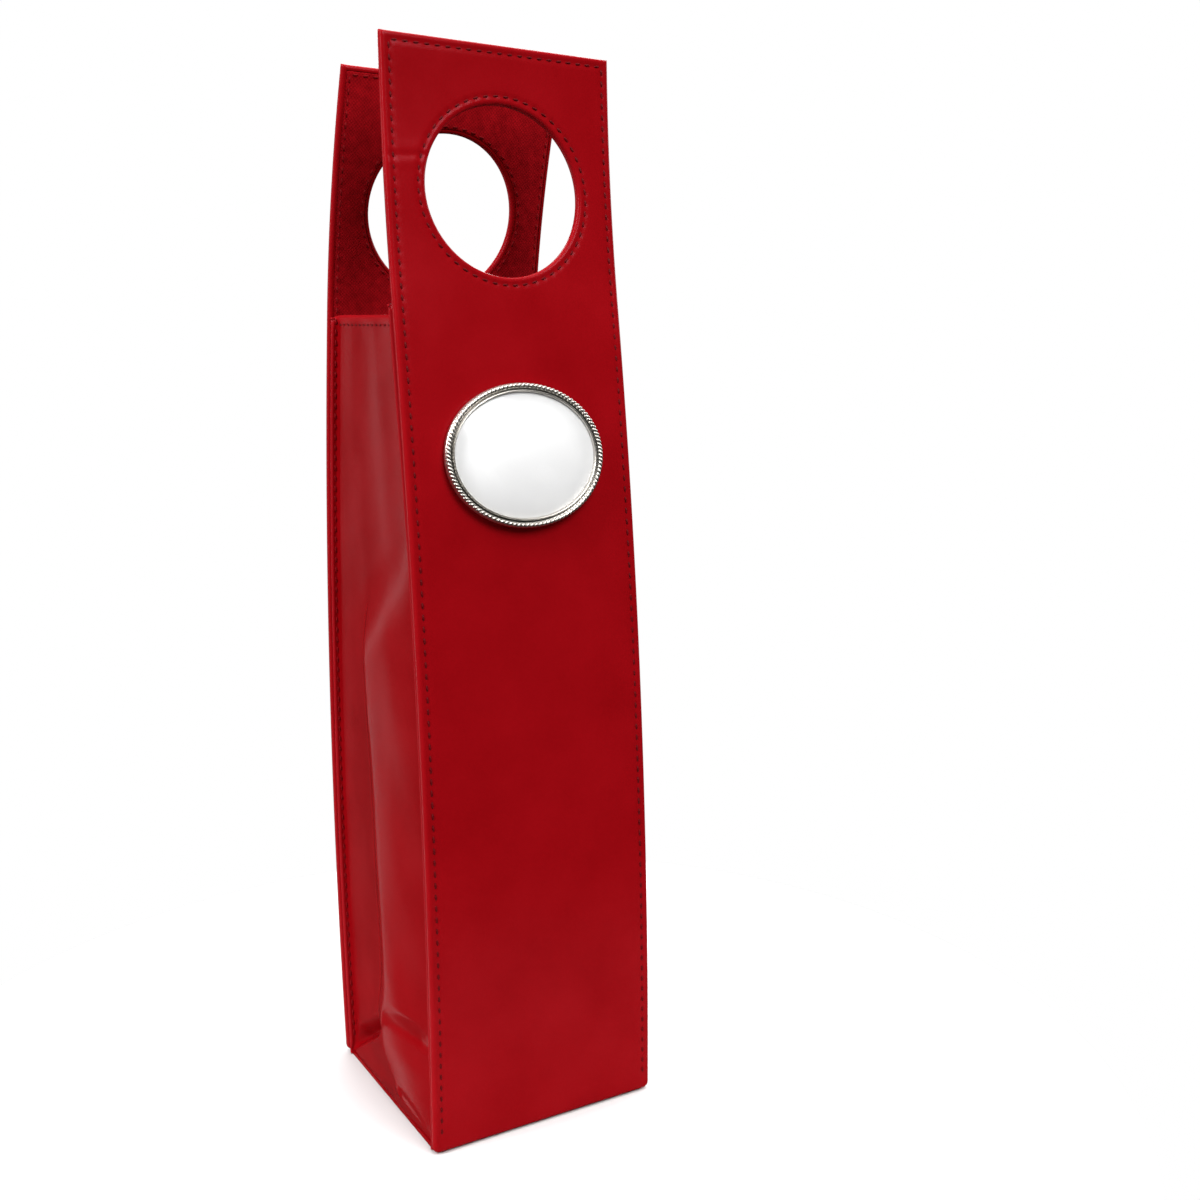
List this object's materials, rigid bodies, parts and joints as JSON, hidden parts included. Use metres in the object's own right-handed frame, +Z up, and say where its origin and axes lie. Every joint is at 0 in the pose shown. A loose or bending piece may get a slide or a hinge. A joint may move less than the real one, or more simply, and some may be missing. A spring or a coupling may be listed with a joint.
{
  "type": "bottle carrier",
  "caption": "Upright red leatherette bottle carrier: stiff panels that rise into handles with round hand holes, soft side gussets, a flat base and a white oval medallion.",
  "frame": {"origin": "middle of the base, on the surface that the carrier stands on", "axes": "+X along the width, to the right as seen from the front; +Y from the front panel, which carries the medallion, to the back panel; +Z up"},
  "size_m": [0.089, 0.0953, 0.3843],
  "materials": {
    "leatherette": "satin",
    "greyboard": "matte",
    "lining_cloth": "matte",
    "adhesive_foam": "matte",
    "nickel_rim": "satin",
    "white_insert": "gloss",
    "clear_dome": "gloss"
  },
  "bodies": {
    "base": {"base_skin": "leatherette", "base_board": "greyboard", "base_lining": "lining_cloth", "left_gusset": "leatherette", "left_gusset_lining": "lining_cloth", "right_gusset": "leatherette", "right_gusset_lining": "lining_cloth"},
    "front_panel": {"front_panel_skin": "leatherette", "front_panel_board": "greyboard", "front_panel_lining": "lining_cloth", "medallion_pad": "adhesive_foam", "medallion_cup": "nickel_rim", "medallion_insert": "white_insert", "medallion_dome": "clear_dome"},
    "front_handle": {"front_handle_skin": "leatherette", "front_handle_board": "greyboard", "front_handle_lining": "lining_cloth"},
    "back_panel": {"back_panel_skin": "leatherette", "back_panel_board": "greyboard", "back_panel_lining": "lining_cloth"},
    "back_handle": {"back_handle_skin": "leatherette", "back_handle_board": "greyboard", "back_handle_lining": "lining_cloth"}
  },
  "joints": [
    {"name": "front_panel_lean", "type": "hinge", "parent": "base", "child": "front_panel", "pos_m": [0, -0.04216, 0.00208], "axis": [1, 0, 0], "range_deg": [-1.2, 2.2], "stiffness_Nm_per_rad": 3, "deforming": ["left_gusset", "right_gusset", "left_gusset_lining", "right_gusset_lining"]},
    {"name": "back_panel_lean", "type": "hinge", "parent": "base", "child": "back_panel", "pos_m": [0, 0.04224, 0.00224], "axis": [-1, 0, 0], "range_deg": [-1.2, 2.2], "stiffness_Nm_per_rad": 3, "deforming": ["left_gusset", "right_gusset", "left_gusset_lining", "right_gusset_lining"]},
    {"name": "front_handle_fold", "type": "hinge", "parent": "front_panel", "child": "front_handle", "pos_m": [0, -0.02472, 0.29474], "axis": [1, 0, 0], "range_deg": [-4.5, 40], "stiffness_Nm_per_rad": 0.5},
    {"name": "back_handle_fold", "type": "hinge", "parent": "back_panel", "child": "back_handle", "pos_m": [0, 0.03909, 0.2949], "axis": [-1, 0, 0], "range_deg": [-4.5, 40], "stiffness_Nm_per_rad": 0.5}
  ]
}
